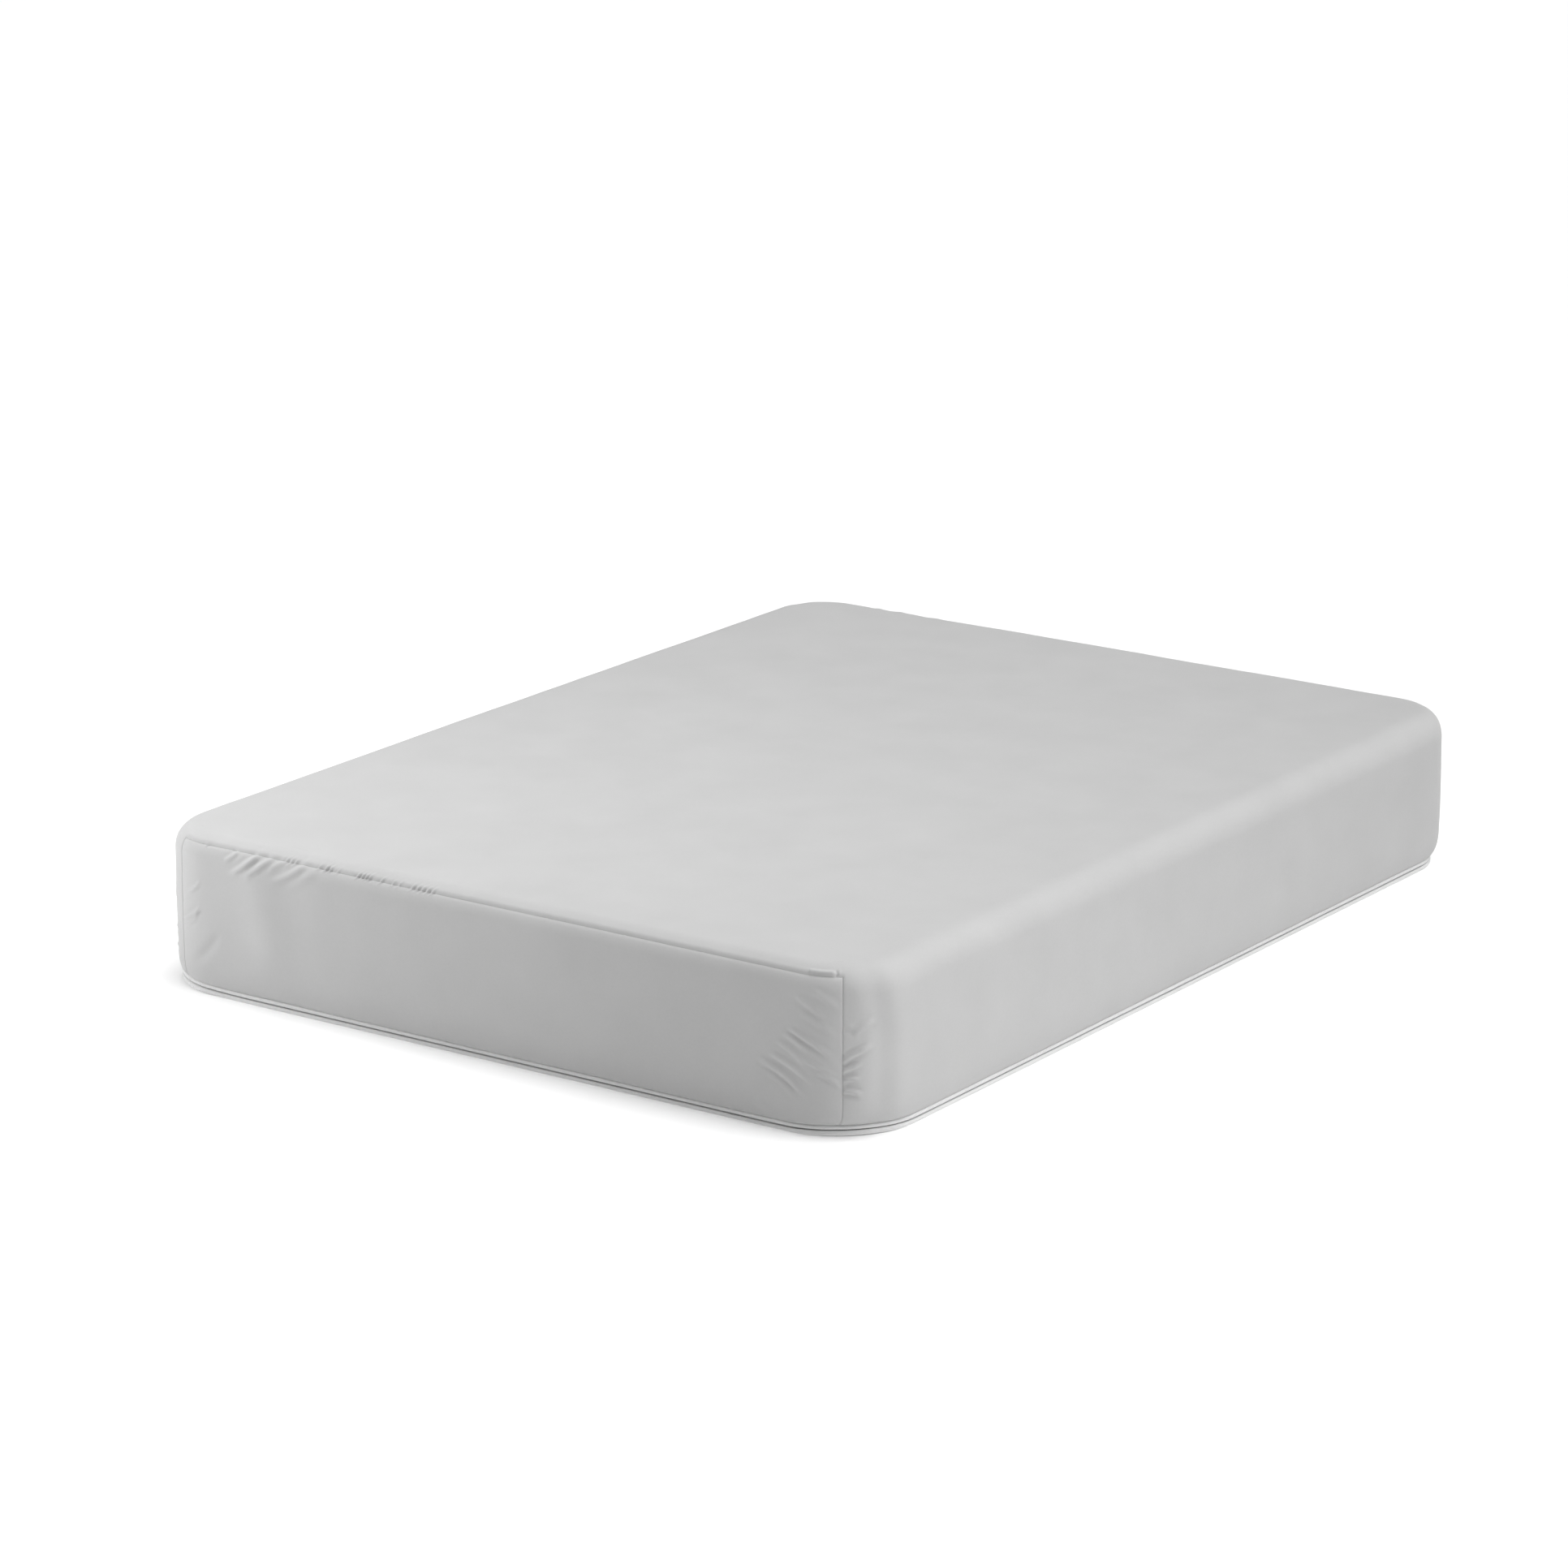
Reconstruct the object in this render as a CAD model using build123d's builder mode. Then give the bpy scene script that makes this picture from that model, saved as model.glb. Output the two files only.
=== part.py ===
from build123d import *
import os

# Memory foam mattress with a zip-off knitted cover.
# Frame: origin on the floor under the centre, +Y towards the head end, +Z up, millimetres.

# ---- Driving dimensions --------------------------------------------------------------------
WIDTH = 1524.0  # queen size, long side to long side
LENGTH = 2032.0  # foot to head
HEIGHT = 292.0
CORNER_R = 130.0  # plan radius of the four vertical corners
HEM_CORNER_R = 152.0  # plan radius of the hem band's outer face, which is drawn in at the corners
TOP_ROLL = 42.0  # round of the upper edge

COVER_T = 6.0  # stretch knit with its bonded wadding
WALL_FOOT_INSET = 3.0  # wall's outer face where it meets the hem band
WALL_EASE_TOP = 60.0  # level where the drawn-in wall has come out to its full width
TOP_SEAM_DROP = 16.0  # end-panel seam, below the top plane
SIDE_SEAM_X = 706.0  # end-panel side seams, either side of the middle
WINDOW_DEPTH = 70.0  # how far the end-panel cut reaches in from the end

FLAP_INSET = 5.0  # hem band, behind the wall face
FLAP_T = 2.5
FLAP_H = 8.0  # height of each roll of the hem band
GROOVE = 1.6  # slit between the two rolls, where the zip runs

TAPE_T = 0.6
TAPE_H = 6.5
COIL_T = 1.9
COIL_H = 2.4

SEAM_TAPE_T = 0.8
SEAM_TAPE_HALF = 6.0  # half width of the binding on a seam

CORE_INSET = 11.6  # fire sock's face, behind the wall face
CORE_CORNER_R = 165.0
CORE_ROLL = 34.0  # round of the sock's upper edge
TOP_GAP = 0.6  # air between the cover's inside and the sock
SOCK_T = 1.2
BOTTOM_T = 2.0
MEMORY_FOAM_T = 76.2
TRANSITION_FOAM_T = 50.8

PARK_X = -560.0  # slider's closed place on the head side
SLIDER_L = 11.0
CLEAR = 0.4  # running clearance round the coils
STOP_L = 3.0
LOWER_GAP = (-590.0, -572.0)  # break in the lower coil, from end to start
UPPER_GAP = (-590.0, -542.0)  # break in the upper coil, clear of the parked slider

PLATE_T = 0.8  # slider plates and flanges
NECK_T = 1.0
NECK_INSET = 2.0  # neck's ends, in from the slider's ends
CROWN_H = 9.0
CROWN_R = 2.5
HINGE_INSET = 1.6  # hinge axis, behind the wall face
KNUCKLE_R = 1.2
HINGE_PIN_R = 0.6
HINGE_CLEAR = 0.05
LUG_T = 1.2
LUG_PITCH = 6.3  # distance between the middles of the two lugs
PULL_L = 26.0
PULL_H = 7.0
PULL_R = 3.2
PULL_T = 1.0
PULL_START = 4.0  # wide part of the pull, from the hinge axis
PULL_HOLE = (8.0, 3.0)

# ---- Worked-out levels ---------------------------------------------------------------------
ZIP_Z = FLAP_H + GROOVE / 2
COVER_BASE = 2 * FLAP_H + GROOVE
SEAM_Z = HEIGHT - TOP_SEAM_DROP
SOCK_TOP = HEIGHT - COVER_T - TOP_GAP
FOAM_TOP = SOCK_TOP - SOCK_T
FOAM_BASE = BOTTOM_T + SOCK_T
MEMORY_Z = FOAM_TOP - MEMORY_FOAM_T
TRANSITION_Z = MEMORY_Z - TRANSITION_FOAM_T
FOAM_INSET = CORE_INSET + SOCK_T
FOAM_ROLL = CORE_ROLL - SOCK_T
TAPE_INSET = FLAP_INSET + FLAP_T
COIL_INSET = TAPE_INSET + TAPE_T
HEAD_Y = LENGTH / 2


def hem_outline_radius(inset):
    """Corner radius of the hem's plan outline, `inset` behind the wall face."""
    return HEM_CORNER_R - (inset - FLAP_INSET)


def core_block(inset, z_low, z_high, roll=0.0):
    """Solid block whose walls stand `inset` behind the mattress's, with a rolled upper edge."""
    with BuildPart() as block:
        with BuildSketch(Plane.XY.offset(z_low)):
            corner = CORE_CORNER_R - (inset - CORE_INSET)
            RectangleRounded(WIDTH - 2 * inset, LENGTH - 2 * inset, corner)
        extrude(amount=z_high - z_low)
        if roll:
            fillet(block.faces().sort_by(Axis.Z)[-1].edges(), roll)
    return block.part


def cover_form(inset):
    """The cover's outer shape, or the same shape `inset` inside it: drawn in at the hem, rolled on top."""
    foot = WALL_FOOT_INSET + inset
    with BuildPart() as form:
        with BuildSketch(Plane.XY.offset(COVER_BASE)):
            RectangleRounded(WIDTH - 2 * foot, LENGTH - 2 * foot, hem_outline_radius(foot))
        with BuildSketch(Plane.XY.offset(WALL_EASE_TOP)):
            RectangleRounded(WIDTH - 2 * inset, LENGTH - 2 * inset, CORNER_R - inset)
        loft()
        extrude(form.faces().sort_by(Axis.Z)[-1], amount=HEIGHT - inset - WALL_EASE_TOP)
        fillet(form.faces().sort_by(Axis.Z)[-1].edges(), TOP_ROLL - inset)
    return form.part


def hem_ring(inset, thickness, z_low, z_high):
    """Closed band that follows the hem's plan outline."""
    inner = inset + thickness
    with BuildPart() as ring:
        with BuildSketch(Plane.XY.offset(z_low)):
            RectangleRounded(WIDTH - 2 * inset, LENGTH - 2 * inset, hem_outline_radius(inset))
            RectangleRounded(
                WIDTH - 2 * inner, LENGTH - 2 * inner, hem_outline_radius(inner), mode=Mode.SUBTRACT
            )
        extrude(amount=z_high - z_low)
    return ring.part


def end_window(side, margin=0.0):
    """Block that cuts an end panel out of the cover: side is -1 at the foot, 1 at the head."""
    height = SEAM_Z - COVER_BASE + margin
    with BuildPart() as window:
        with BuildSketch(Plane.XY.offset(COVER_BASE)):
            with Locations((0, side * LENGTH / 2)):
                Rectangle(2 * (SIDE_SEAM_X + margin), 2 * WINDOW_DEPTH)
        extrude(amount=height)
    return window.part


def head_run(x_low, x_high, inset, depth, z_low, z_high):
    """Straight block on the head side's hem, `inset` behind the wall face."""
    with BuildPart() as run:
        with BuildSketch(Plane.XY.offset(z_low)):
            with Locations(((x_low + x_high) / 2, HEAD_Y - inset - depth / 2)):
                Rectangle(x_high - x_low, depth)
        extrude(amount=z_high - z_low)
    return run.part


def save(piece, name):
    piece.part.label = name
    export_step(piece.part, f"parts/{name}.step")


os.makedirs("parts", exist_ok=True)

# ---- Foam core -----------------------------------------------------------------------------
foam_form = core_block(FOAM_INSET, FOAM_BASE, FOAM_TOP, FOAM_ROLL)
sock_form = core_block(CORE_INSET, BOTTOM_T, SOCK_TOP, CORE_ROLL)
base_form = core_block(FOAM_INSET, FOAM_BASE, TRANSITION_Z)
transition_form = core_block(FOAM_INSET, TRANSITION_Z, MEMORY_Z)

with BuildPart() as base_foam:
    add(base_form)
save(base_foam, "base_foam")

with BuildPart() as transition_foam:
    add(transition_form)
save(transition_foam, "transition_foam")

with BuildPart() as memory_foam:
    add(foam_form)
    split(bisect_by=Plane.XY.offset(MEMORY_Z), keep=Keep.TOP)
save(memory_foam, "memory_foam")

# The knitted sleeve goes all the way round the foam.
with BuildPart() as fire_sock:
    add(sock_form)
    add(foam_form, mode=Mode.SUBTRACT)
save(fire_sock, "fire_sock")

with BuildPart() as bottom_panel:
    with BuildSketch():
        panel_corner = hem_outline_radius(TAPE_INSET)
        RectangleRounded(WIDTH - 2 * TAPE_INSET, LENGTH - 2 * TAPE_INSET, panel_corner)
    extrude(amount=BOTTOM_T)
save(bottom_panel, "bottom_panel")

# ---- Lower half of the hem band and zip ----------------------------------------------------
with BuildPart() as lower_zip_flap:
    add(hem_ring(FLAP_INSET, FLAP_T, 0, FLAP_H))
save(lower_zip_flap, "lower_zip_flap")

with BuildPart() as lower_zip_tape:
    add(hem_ring(TAPE_INSET, TAPE_T, BOTTOM_T, FLAP_H))
save(lower_zip_tape, "lower_zip_tape")

lower_break = head_run(LOWER_GAP[0] - STOP_L, LOWER_GAP[1] + STOP_L, COIL_INSET, COIL_T, 0, FLAP_H)
with BuildPart() as lower_zip_coil:
    add(hem_ring(COIL_INSET, COIL_T, FLAP_H - COIL_H, FLAP_H))
    add(lower_break, mode=Mode.SUBTRACT)
save(lower_zip_coil, "lower_zip_coil")

with BuildPart() as lower_zip_stops:
    for start in (LOWER_GAP[0] - STOP_L, LOWER_GAP[1]):
        add(head_run(start, start + STOP_L, COIL_INSET, COIL_T, FLAP_H - COIL_H, FLAP_H))
save(lower_zip_stops, "lower_zip_stops")

# ---- Cover ---------------------------------------------------------------------------------
outer_form = cover_form(0)
inner_form = cover_form(COVER_T)
foot_window = end_window(-1)
head_window = end_window(1)

with BuildPart() as top_cover:
    add(outer_form)
    add(inner_form, mode=Mode.SUBTRACT)
    add(foot_window, mode=Mode.SUBTRACT)
    add(head_window, mode=Mode.SUBTRACT)
save(top_cover, "top_cover")

with BuildPart() as foot_panel:
    add(outer_form)
    add(inner_form, mode=Mode.SUBTRACT)
    add(foot_window, mode=Mode.INTERSECT)
save(foot_panel, "foot_panel")

with BuildPart() as head_panel:
    add(outer_form)
    add(inner_form, mode=Mode.SUBTRACT)
    add(head_window, mode=Mode.INTERSECT)
save(head_panel, "head_panel")

# Binding strips lie on the inside of the cover, over the three seams of each end panel.
binding_form = cover_form(COVER_T + SEAM_TAPE_T)

with BuildPart() as foot_seam_tape:
    add(inner_form)
    add(binding_form, mode=Mode.SUBTRACT)
    add(end_window(-1, SEAM_TAPE_HALF), mode=Mode.INTERSECT)
    add(end_window(-1, -SEAM_TAPE_HALF), mode=Mode.SUBTRACT)
save(foot_seam_tape, "foot_seam_tape")

with BuildPart() as head_seam_tape:
    add(inner_form)
    add(binding_form, mode=Mode.SUBTRACT)
    add(end_window(1, SEAM_TAPE_HALF), mode=Mode.INTERSECT)
    add(end_window(1, -SEAM_TAPE_HALF), mode=Mode.SUBTRACT)
save(head_seam_tape, "head_seam_tape")

# ---- Upper half of the hem band and zip ----------------------------------------------------
upper_edge = FLAP_H + GROOVE

with BuildPart() as upper_zip_flap:
    add(hem_ring(FLAP_INSET, FLAP_T, upper_edge, COVER_BASE))
save(upper_zip_flap, "upper_zip_flap")

with BuildPart() as upper_zip_tape:
    add(hem_ring(TAPE_INSET, TAPE_T, upper_edge, upper_edge + TAPE_H))
save(upper_zip_tape, "upper_zip_tape")

upper_break = head_run(
    UPPER_GAP[0] - STOP_L, UPPER_GAP[1] + STOP_L, COIL_INSET, COIL_T, 0, upper_edge + COIL_H
)
with BuildPart() as upper_zip_coil:
    add(hem_ring(COIL_INSET, COIL_T, upper_edge, upper_edge + COIL_H))
    add(upper_break, mode=Mode.SUBTRACT)
save(upper_zip_coil, "upper_zip_coil")

with BuildPart() as upper_zip_pin:
    pin_start = UPPER_GAP[1]
    add(head_run(pin_start, pin_start + STOP_L, COIL_INSET, COIL_T, upper_edge, upper_edge + COIL_H))
save(upper_zip_pin, "upper_zip_pin")

with BuildPart() as upper_zip_stop:
    stop_end = UPPER_GAP[0]
    add(head_run(stop_end - STOP_L, stop_end, COIL_INSET, COIL_T, upper_edge, upper_edge + COIL_H))
save(upper_zip_stop, "upper_zip_stop")

# ---- Slider and pull -----------------------------------------------------------------------
back_inset = COIL_INSET + COIL_T + CLEAR  # front face of the slider's back plate
flange_z = FLAP_H - COIL_H - CLEAR  # upper face of the lower flange
flange_depth = COIL_T  # reach of each flange over its coil
crown_inset = FLAP_INSET - CLEAR - PLATE_T  # outer face of the front plate
hinge_y = HEAD_Y - HINGE_INSET
x_low = PARK_X - SLIDER_L / 2
x_high = PARK_X + SLIDER_L / 2
back_low = flange_z - PLATE_T
back_high = 2 * ZIP_Z - back_low

with BuildPart() as zip_slider:
    # back plate, with a flange round each coil
    add(head_run(x_low, x_high, back_inset, PLATE_T, back_low, back_high))
    for low in (back_low, back_high - PLATE_T):
        add(head_run(x_low, x_high, back_inset - flange_depth, flange_depth, low, low + PLATE_T))
    # neck through the slit, and the front plate outside it
    neck_depth = back_inset - crown_inset
    neck_z = ZIP_Z - NECK_T / 2
    add(head_run(x_low + NECK_INSET, x_high - NECK_INSET, crown_inset, neck_depth, neck_z, neck_z + NECK_T))
    with BuildSketch(Plane.XZ.offset(-(HEAD_Y - crown_inset))):
        with Locations((PARK_X, ZIP_Z)):
            RectangleRounded(SLIDER_L, CROWN_H, CROWN_R)
    extrude(amount=PLATE_T)
    # two lugs that hold the hinge pin
    for low in (ZIP_Z - LUG_PITCH / 2 - LUG_T / 2, ZIP_Z + LUG_PITCH / 2 - LUG_T / 2):
        with BuildSketch(Plane.XY.offset(low)):
            with Locations((PARK_X, hinge_y)):
                Circle(KNUCKLE_R)
            with Locations((PARK_X, hinge_y - (crown_inset - HINGE_INSET) / 2)):
                Rectangle(2 * KNUCKLE_R, crown_inset - HINGE_INSET)
        extrude(amount=LUG_T)
    with BuildSketch(Plane.XY.offset(ZIP_Z - LUG_PITCH / 2)):
        with Locations((PARK_X, hinge_y)):
            Circle(HINGE_PIN_R)
    extrude(amount=LUG_PITCH)
save(zip_slider, "zip_slider")

knuckle_h = LUG_PITCH - LUG_T - 2 * CLEAR
with BuildPart() as pull_tab:
    # knuckle that turns on the hinge pin
    with BuildSketch(Plane.XY.offset(ZIP_Z - knuckle_h / 2)):
        with Locations((PARK_X, hinge_y)):
            Circle(KNUCKLE_R)
    extrude(amount=knuckle_h)
    # flat pull with a rounded end and an oval hole
    with BuildSketch(Plane.XZ.offset(-(hinge_y + PULL_T / 2))):
        with Locations((PARK_X - PULL_START / 2 - PULL_R / 2, ZIP_Z)):
            Rectangle(PULL_START + PULL_R, knuckle_h)
        with Locations((PARK_X - PULL_START - PULL_L / 2, ZIP_Z)):
            RectangleRounded(PULL_L, PULL_H, PULL_R)
        with Locations((PARK_X - PULL_START - PULL_L + PULL_HOLE[0], ZIP_Z)):
            SlotOverall(PULL_HOLE[0], PULL_HOLE[1], mode=Mode.SUBTRACT)
    extrude(amount=PULL_T)
    with BuildSketch(Plane.XY.offset(ZIP_Z - knuckle_h / 2)):
        with Locations((PARK_X, hinge_y)):
            Circle(HINGE_PIN_R + HINGE_CLEAR)
    extrude(amount=knuckle_h, mode=Mode.SUBTRACT)
save(pull_tab, "pull_tab")
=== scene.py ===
import math

import bmesh
import bpy
import numpy as np
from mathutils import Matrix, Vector


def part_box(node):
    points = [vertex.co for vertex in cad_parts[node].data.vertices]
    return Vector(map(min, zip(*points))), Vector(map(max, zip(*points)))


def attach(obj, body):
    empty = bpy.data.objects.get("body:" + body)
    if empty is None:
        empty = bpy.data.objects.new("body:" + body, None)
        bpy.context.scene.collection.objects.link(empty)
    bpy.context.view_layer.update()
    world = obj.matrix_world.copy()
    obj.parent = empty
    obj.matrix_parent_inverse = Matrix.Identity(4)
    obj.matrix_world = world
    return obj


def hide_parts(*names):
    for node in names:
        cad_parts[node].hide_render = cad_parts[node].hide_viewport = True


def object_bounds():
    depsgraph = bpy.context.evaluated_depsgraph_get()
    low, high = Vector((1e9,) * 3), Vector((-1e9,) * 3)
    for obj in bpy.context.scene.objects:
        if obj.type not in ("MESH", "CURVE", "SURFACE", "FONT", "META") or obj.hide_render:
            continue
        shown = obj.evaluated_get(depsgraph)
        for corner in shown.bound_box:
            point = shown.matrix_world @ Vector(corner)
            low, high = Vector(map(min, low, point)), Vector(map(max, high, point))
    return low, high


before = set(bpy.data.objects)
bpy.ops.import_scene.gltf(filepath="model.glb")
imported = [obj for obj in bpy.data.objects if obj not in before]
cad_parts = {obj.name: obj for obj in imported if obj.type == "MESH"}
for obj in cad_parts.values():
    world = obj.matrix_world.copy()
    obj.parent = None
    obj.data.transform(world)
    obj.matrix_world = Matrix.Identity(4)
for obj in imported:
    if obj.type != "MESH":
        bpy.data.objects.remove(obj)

# Memory foam mattress with a zip-off knitted cover. Metres, in the frame's own axes:
# foot at -Y, head at +Y, origin on the floor under the middle.

cad_low, cad_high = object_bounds()

# ---- Sizes taken from the frame ------------------------------------------------------------
HALF_W = cad_high.x
HALF_L = cad_high.y
TOP = cad_high.z
SEAM_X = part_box("foot_panel")[1].x
SEAM_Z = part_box("foot_panel")[1].z
HEM_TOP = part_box("top_cover")[0].z
CORE_INSET = HALF_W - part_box("fire_sock")[1].x
FOAM_INSET = HALF_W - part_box("base_foam")[1].x
BOTTOM_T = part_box("bottom_panel")[1].z
FLAP_INSET = HALF_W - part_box("upper_zip_flap")[1].x
TAPE_INSET = HALF_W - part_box("upper_zip_tape")[1].x
COIL_INSET = HALF_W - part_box("upper_zip_coil")[1].x

# ---- Shape of the soft parts ---------------------------------------------------------------
CORNER_R = 0.130  # plan radius of the walls
HEM_CORNER_R = 0.152  # plan radius of the hem, drawn in at the corners
CORE_CORNER_R = 0.165
HEM_INSET = 0.0052  # wall's lower edge, behind the wall face
EASE_TOP = 0.060  # level where the drawn-in wall has come out to its full width
SIDE_ROLL = 0.049  # round of the upper edge along the sides
END_ROLL = 0.040  # and along the foot and head
BOW = 0.0025  # each wall's outward bow in plan
BULGE = 0.0012  # and in height
CROWN = 0.0015  # swell of the top
LEFT_HEM_LIFT = 0.0060  # how far the foot's corners stand off the floor
RIGHT_HEM_LIFT = 0.0030
LIFT_REACH = 0.095  # distance over which that fades away
HEM_LEFT_EASE = 0.024  # the hem's plan radius is smaller by this at the foot's left corner
CORE_ROLL = 0.034  # round of the core's upper edge
LINING_DEPTH = 0.0052  # inner face of the cover, behind its skin
TURN_IN = 0.0055  # seam allowance of the cover pieces
DEEPEST = 0.0042  # the cloth never sinks as far as the wadding's inner face
BINDING_HALF = 0.006  # half the width of the seam binding
HEM_STRIP = 0.012  # width of the strip that each hem roll is folded from
ROLL_OUT = 0.0040  # how far a hem roll stands out from the zip tape
ROLL_EASE = 0.0018  # and how much less along the head
TAPE_HALF_T = 0.0003  # half the thickness of the zip tape
HEM_COLUMNS = 1700  # columns of the hem rolls round the outline
TAPE_COLUMNS = 900  # and of the zip tapes
COIL_DEPTH = 0.0019
COIL_PITCH = 0.003
SOCK_UNDER = 0.110  # how far the sock's turned-under edge lies from the wall face
MM = 0.001

# ---- Outline of the walls, by length round it from the middle of the foot -------------------
STRAIGHT_X = HALF_W - CORNER_R
STRAIGHT_Y = HALF_L - CORNER_R
ARC = CORNER_R * math.pi / 2
OUTLINE_RUNS = [0, STRAIGHT_X, ARC, 2 * STRAIGHT_Y, ARC, 2 * STRAIGHT_X, ARC, 2 * STRAIGHT_Y, ARC, STRAIGHT_X]
PERIMETER = sum(OUTLINE_RUNS)
SEAM_S = STRAIGHT_X + CORNER_R * math.asin((SEAM_X - STRAIGHT_X) / CORNER_R)
LEFT_SEAM_S = 0.690  # the left side's seams lie a little nearer the middle, as in the photo


def stations(s):
    """Plan stations at lengths s round the outline, anticlockwise from the middle of the foot."""
    marks = np.cumsum(OUTLINE_RUNS)
    s = np.mod(s, PERIMETER)
    along_x = np.interp(s, marks, [0, 1, 1, 1, 1, -1, -1, -1, -1, 0])
    along_y = np.interp(s, marks, [-1, -1, -1, 1, 1, 1, 1, -1, -1, -1])
    turn = np.interp(s, marks, np.radians([-90, -90, 0, 0, 90, 90, 180, 180, 270, 270]))
    return along_x, along_y, turn


def seam_span(middle):
    """Lengths of one end's two side seams. middle is 0 at the foot, half the perimeter at the head."""
    if middle == 0:
        return -LEFT_SEAM_S, SEAM_S
    return middle - SEAM_S, middle + LEFT_SEAM_S


def past_seam(s_end, right):
    """How far a length lies outside an end's side seams. right is the sign of s_end on the right side."""
    return np.where(right * s_end > 0, np.abs(s_end) - SEAM_S, np.abs(s_end) - LEFT_SEAM_S)


def hem_radius(s):
    """Plan radius of the hem, which is drawn in less at the foot's left corner."""
    from_corner = np.mod(s + STRAIGHT_X + ARC / 2 + PERIMETER / 2, PERIMETER) - PERIMETER / 2
    return HEM_CORNER_R - HEM_LEFT_EASE * np.exp(-((from_corner / 0.22) ** 4))


def ring(where, inset, corner_r, z):
    """Points on a rounded rectangle that stands `inset` behind the walls."""
    along_x, along_y, turn = where
    x = along_x * (HALF_W - inset - corner_r) + corner_r * np.cos(turn)
    y = along_y * (HALF_L - inset - corner_r) + corner_r * np.sin(turn)
    x, y, z = np.broadcast_arrays(x, y, z)
    return np.stack([x, y, z], -1)


def noise3(points, size, seed):
    """Smooth random value from -1 to 1, with bumps about `size` metres across."""
    lattice = np.random.default_rng(seed).uniform(-1, 1, (32, 32, 32))
    cell = points / size
    base = np.floor(cell).astype(int)
    t = cell - base
    t = t * t * (3 - 2 * t)
    total = 0.0
    for corner in np.ndindex(2, 2, 2):
        weight = np.prod(np.where(np.array(corner) == 1, t, 1 - t), -1)
        i, j, k = ((base + corner) % 32).reshape(-1, 3).T
        total = total + weight * lattice[i, j, k].reshape(weight.shape)
    return total


def smooth(x):
    """Eases from 0 to 1 as x goes from 0 to 1."""
    x = np.clip(x, 0, 1)
    return x * x * (3 - 2 * x)


# ---- Folds and puckers of the cover --------------------------------------------------------
# Each fold: its two ends as (length round the outline, height), its half width and its height.
PANEL_FOLDS = [
    # short diagonal folds under the top seam, left of the middle
    ((-0.552, 0.276), (-0.584, 0.253), 4.5 * MM, 2.2 * MM),
    ((-0.506, 0.276), (-0.576, 0.231), 5.5 * MM, 4.0 * MM),
    ((-0.476, 0.276), (-0.542, 0.235), 5.5 * MM, 3.1 * MM),
    ((-0.450, 0.276), (-0.480, 0.260), 5.0 * MM, 1.7 * MM),
    ((-0.402, 0.276), (-0.484, 0.233), 6.0 * MM, 3.0 * MM),
    ((-0.372, 0.274), (-0.446, 0.230), 8.0 * MM, 1.4 * MM),
    # by the left seam
    ((-0.638, 0.204), (-0.674, 0.180), 4.0 * MM, 1.6 * MM),
    ((-0.640, 0.156), (-0.696, 0.123), 4.5 * MM, 2.7 * MM),
    ((-0.646, 0.141), (-0.690, 0.115), 4.0 * MM, 1.6 * MM),
    ((-0.598, 0.114), (-0.664, 0.052), 9.0 * MM, -1.6 * MM),
    ((-0.524, 0.262), (-0.474, 0.050), 40.0 * MM, 4.5 * MM),
    # fan that runs down into the right seam
    ((0.622, 0.182), (0.704, 0.134), 4.2 * MM, 2.4 * MM),
    ((0.634, 0.240), (0.690, 0.197), 5.5 * MM, 1.8 * MM),
    ((0.662, 0.252), (0.710, 0.219), 5.0 * MM, 1.6 * MM),
    ((0.644, 0.212), (0.706, 0.172), 5.0 * MM, 1.4 * MM),
    ((0.596, 0.156), (0.652, 0.124), 4.8 * MM, 1.7 * MM),
    ((0.612, 0.170), (0.668, 0.138), 4.2 * MM, 1.4 * MM),
    ((0.586, 0.132), (0.672, 0.088), 4.8 * MM, 2.2 * MM),
    ((0.650, 0.132), (0.711, 0.100), 4.2 * MM, 1.8 * MM),
    ((0.564, 0.118), (0.664, 0.062), 5.0 * MM, 2.0 * MM),
    ((0.576, 0.098), (0.634, 0.062), 4.6 * MM, 1.2 * MM),
    ((0.674, 0.114), (0.711, 0.088), 3.8 * MM, 2.8 * MM),
    ((0.548, 0.046), (0.596, 0.023), 6.0 * MM, 1.2 * MM),
]
WRAP_FOLDS = [
    # round the corner from the right seam
    ((0.713, 0.138), (0.764, 0.162), 4.6 * MM, 5.0 * MM),
    ((0.713, 0.120), (0.744, 0.130), 4.0 * MM, 4.2 * MM),
    ((0.713, 0.104), (0.740, 0.105), 3.8 * MM, 4.4 * MM),
    ((0.713, 0.086), (0.744, 0.077), 4.0 * MM, 5.2 * MM),
    ((0.713, 0.190), (0.732, 0.180), 4.6 * MM, -2.0 * MM),
    ((0.732, 0.186), (0.768, 0.204), 5.5 * MM, 3.0 * MM),
    ((0.764, 0.270), (0.764, -0.020), 20.0 * MM, -3.0 * MM),
]
# Groups of small puckers on the foot's top seam: first place, how many, pitch, height.
FOOT_PUCKERS = [
    (-0.625, 1, 0.010, 3.78 * MM),
    (-0.446, 3, 0.010, 3.08 * MM),
    (-0.372, 1, 0.010, 2.66 * MM),
    (-0.358, 2, 0.009, 5.18 * MM),
    (-0.331, 1, 0.010, 2.38 * MM),
    (-0.287, 4, 0.008, 5.18 * MM),
    (-0.236, 1, 0.010, 4.20 * MM),
    (-0.211, 2, 0.014, 2.66 * MM),
    (-0.169, 5, 0.011, 3.78 * MM),
    (0.120, 3, 0.160, 1.40 * MM),
]


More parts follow.
